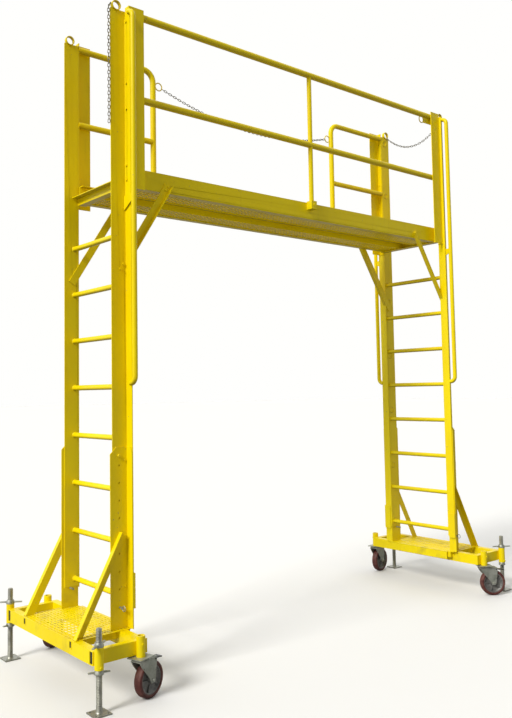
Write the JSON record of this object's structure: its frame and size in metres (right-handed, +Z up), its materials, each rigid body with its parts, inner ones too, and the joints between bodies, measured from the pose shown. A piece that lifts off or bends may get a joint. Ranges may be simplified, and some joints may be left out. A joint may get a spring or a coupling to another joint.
{
  "type": "mobile platform scaffold",
  "caption": "Rolling bridge scaffold: two castered ladder towers with levelling jacks carry a guarded walkway with chained access openings.",
  "frame": {"origin": "floor level, midway between the two towers", "axes": "+X runs along the platform towards the tower with the chained gate, +Z is up, and +Y points to the side with the back hoops and chain"},
  "size_m": [3.9432, 1.3658, 4.0778],
  "materials": {
    "paint": "gloss",
    "zinc": "dull zinc plate",
    "chain": "dull zinc plate",
    "tread": "matte",
    "pedal": "matte"
  },
  "bodies": {
    "left_base": {"left_base_frame": "paint", "left_base_deck": "paint", "left_near_sleeve": "paint", "left_far_sleeve": "paint"},
    "upper": {"left_near_stile": "paint", "left_far_stile": "paint", "right_near_stile": "paint", "right_far_stile": "paint", "left_rungs": "paint", "right_rungs": "paint", "near_side_channel": "paint", "far_side_channel": "paint", "near_plank": "paint", "centre_plank": "paint", "far_plank": "paint", "left_end_beam": "paint", "right_end_beam": "paint", "left_near_knee_brace": "paint", "left_far_knee_brace": "paint", "right_near_knee_brace": "paint", "right_far_knee_brace": "paint", "front_guardrail": "paint", "left_hoop": "paint", "right_hoop": "paint", "left_near_grab_rail": "paint", "left_far_grab_rail": "paint", "right_near_grab_rail": "paint", "right_far_grab_rail": "paint", "back_chain": "chain", "right_gate_chain": "chain", "tether_chain": "chain"},
    "right_base": {"right_base_frame": "paint", "right_base_deck": "paint", "right_near_sleeve": "paint", "right_far_sleeve": "paint"},
    "left_near_lock_pin": {"left_near_lock_pin": "zinc"},
    "left_near_jack_screw": {"left_near_jack_screw": "zinc"},
    "left_near_jack_nuts": {"left_near_jack_nuts": "zinc"},
    "left_near_caster_fork": {"left_near_caster_fork": "zinc"},
    "left_near_wheel": {"left_near_wheel": "tread"},
    "left_near_brake_pedal": {"left_near_brake_pedal": "pedal"},
    "left_far_lock_pin": {"left_far_lock_pin": "zinc"},
    "left_far_jack_screw": {"left_far_jack_screw": "zinc"},
    "left_far_jack_nuts": {"left_far_jack_nuts": "zinc"},
    "left_far_caster_fork": {"left_far_caster_fork": "zinc"},
    "left_far_wheel": {"left_far_wheel": "tread"},
    "left_far_brake_pedal": {"left_far_brake_pedal": "pedal"},
    "right_near_lock_pin": {"right_near_lock_pin": "zinc"},
    "right_near_jack_screw": {"right_near_jack_screw": "zinc"},
    "right_near_jack_nuts": {"right_near_jack_nuts": "zinc"},
    "right_near_caster_fork": {"right_near_caster_fork": "zinc"},
    "right_near_wheel": {"right_near_wheel": "tread"},
    "right_near_brake_pedal": {"right_near_brake_pedal": "pedal"},
    "right_far_lock_pin": {"right_far_lock_pin": "zinc"},
    "right_far_jack_screw": {"right_far_jack_screw": "zinc"},
    "right_far_jack_nuts": {"right_far_jack_nuts": "zinc"},
    "right_far_caster_fork": {"right_far_caster_fork": "zinc"},
    "right_far_wheel": {"right_far_wheel": "tread"},
    "right_far_brake_pedal": {"right_far_brake_pedal": "pedal"},
    "left_gate_chain": {"left_gate_chain": "chain"}
  },
  "joints": [
    {"name": "left_base_slide", "type": "slide", "parent": "left_base", "child": "upper", "axis": [0, 0, 1], "range_m": [0, 0.6096]},
    {"name": "right_base_slide", "type": "slide", "parent": "upper", "child": "right_base", "axis": [0, 0, -1], "range_m": [0, 0.6096]},
    {"name": "left_near_pin_slide", "type": "slide", "parent": "left_base", "child": "left_near_lock_pin", "axis": [0, -1, 0], "range_m": [0, 0.047]},
    {"name": "left_near_jack_travel", "type": "slide", "parent": "left_base", "child": "left_near_jack_screw", "axis": [0, 0, 1], "range_m": [-0.07, 0.12]},
    {"name": "left_near_nut_turn", "type": "hinge", "parent": "left_base", "child": "left_near_jack_nuts", "pos_m": [-1.905, -0.573, 0.3], "axis": [0, 0, 1], "range_deg": [-3154, 5404]},
    {"name": "left_near_swivel", "type": "hinge", "parent": "left_base", "child": "left_near_caster_fork", "pos_m": [-1.646, -0.573, 0.24], "axis": [0, 0, 1], "continuous": true},
    {"name": "left_near_axle", "type": "hinge", "parent": "left_near_caster_fork", "child": "left_near_wheel", "pos_m": [-1.58384, -0.554, 0.1015], "axis": [-0.2924, 0.9563, 0], "continuous": true},
    {"name": "left_near_pedal_hinge", "type": "hinge", "parent": "left_near_caster_fork", "child": "left_near_brake_pedal", "pos_m": [-1.5628, -0.54756, 0.209], "axis": [-0.2924, 0.9563, 0], "range_deg": [0, 12]},
    {"name": "left_far_pin_slide", "type": "slide", "parent": "left_base", "child": "left_far_lock_pin", "axis": [0, 1, 0], "range_m": [0, 0.047]},
    {"name": "left_far_jack_travel", "type": "slide", "parent": "left_base", "child": "left_far_jack_screw", "axis": [0, 0, 1], "range_m": [-0.07, 0.12]},
    {"name": "left_far_nut_turn", "type": "hinge", "parent": "left_base", "child": "left_far_jack_nuts", "pos_m": [-1.905, 0.573, 0.3], "axis": [0, 0, 1], "range_deg": [-3154, 5404]},
    {"name": "left_far_swivel", "type": "hinge", "parent": "left_base", "child": "left_far_caster_fork", "pos_m": [-1.646, 0.573, 0.24], "axis": [0, 0, 1], "continuous": true},
    {"name": "left_far_axle", "type": "hinge", "parent": "left_far_caster_fork", "child": "left_far_wheel", "pos_m": [-1.59211, 0.60935, 0.1015], "axis": [-0.5592, 0.829, 0], "continuous": true},
    {"name": "left_far_pedal_hinge", "type": "hinge", "parent": "left_far_caster_fork", "child": "left_far_brake_pedal", "pos_m": [-1.57387, 0.62165, 0.209], "axis": [-0.5592, 0.829, 0], "range_deg": [0, 12]},
    {"name": "right_near_pin_slide", "type": "slide", "parent": "right_base", "child": "right_near_lock_pin", "axis": [0, -1, 0], "range_m": [0, 0.047]},
    {"name": "right_near_jack_travel", "type": "slide", "parent": "right_base", "child": "right_near_jack_screw", "axis": [0, 0, 1], "range_m": [-0.07, 0.12]},
    {"name": "right_near_nut_turn", "type": "hinge", "parent": "right_base", "child": "right_near_jack_nuts", "pos_m": [1.905, -0.573, 0.3], "axis": [0, 0, 1], "range_deg": [-3154, 5404]},
    {"name": "right_near_swivel", "type": "hinge", "parent": "right_base", "child": "right_near_caster_fork", "pos_m": [1.646, -0.573, 0.24], "axis": [0, 0, 1], "continuous": true},
    {"name": "right_near_axle", "type": "hinge", "parent": "right_near_caster_fork", "child": "right_near_wheel", "pos_m": [1.69989, -0.60935, 0.1015], "axis": [0.5592, 0.829, 0], "continuous": true},
    {"name": "right_near_pedal_hinge", "type": "hinge", "parent": "right_near_caster_fork", "child": "right_near_brake_pedal", "pos_m": [1.71813, -0.62165, 0.209], "axis": [0.5592, 0.829, 0], "range_deg": [0, 12]},
    {"name": "right_far_pin_slide", "type": "slide", "parent": "right_base", "child": "right_far_lock_pin", "axis": [0, 1, 0], "range_m": [0, 0.047]},
    {"name": "right_far_jack_travel", "type": "slide", "parent": "right_base", "child": "right_far_jack_screw", "axis": [0, 0, 1], "range_m": [-0.07, 0.12]},
    {"name": "right_far_nut_turn", "type": "hinge", "parent": "right_base", "child": "right_far_jack_nuts", "pos_m": [1.905, 0.573, 0.3], "axis": [0, 0, 1], "range_deg": [-3154, 5404]},
    {"name": "right_far_swivel", "type": "hinge", "parent": "right_base", "child": "right_far_caster_fork", "pos_m": [1.646, 0.573, 0.24], "axis": [0, 0, 1], "continuous": true},
    {"name": "right_far_axle", "type": "hinge", "parent": "right_far_caster_fork", "child": "right_far_wheel", "pos_m": [1.71001, 0.58429, 0.1015], "axis": [-0.1736, 0.9848, 0], "continuous": true},
    {"name": "right_far_pedal_hinge", "type": "hinge", "parent": "right_far_caster_fork", "child": "right_far_brake_pedal", "pos_m": [1.73168, 0.58811, 0.209], "axis": [-0.1736, 0.9848, 0], "range_deg": [0, 12]},
    {"name": "left_gate_chain_swing", "type": "hinge", "parent": "upper", "child": "left_gate_chain", "pos_m": [-1.6221, -0.301, 4.0473], "axis": [0, 1, 0], "range_deg": [0, 60]}
  ],
  "couplings": [
    {"joint": "right_base_slide", "follows": "left_base_slide", "ratio": 1},
    {"joint": "left_near_nut_turn", "follows": "left_near_jack_travel", "rad_per_m": 785.4},
    {"joint": "left_far_nut_turn", "follows": "left_far_jack_travel", "rad_per_m": 785.4},
    {"joint": "right_near_nut_turn", "follows": "right_near_jack_travel", "rad_per_m": 785.4},
    {"joint": "right_far_nut_turn", "follows": "right_far_jack_travel", "rad_per_m": 785.4}
  ]
}
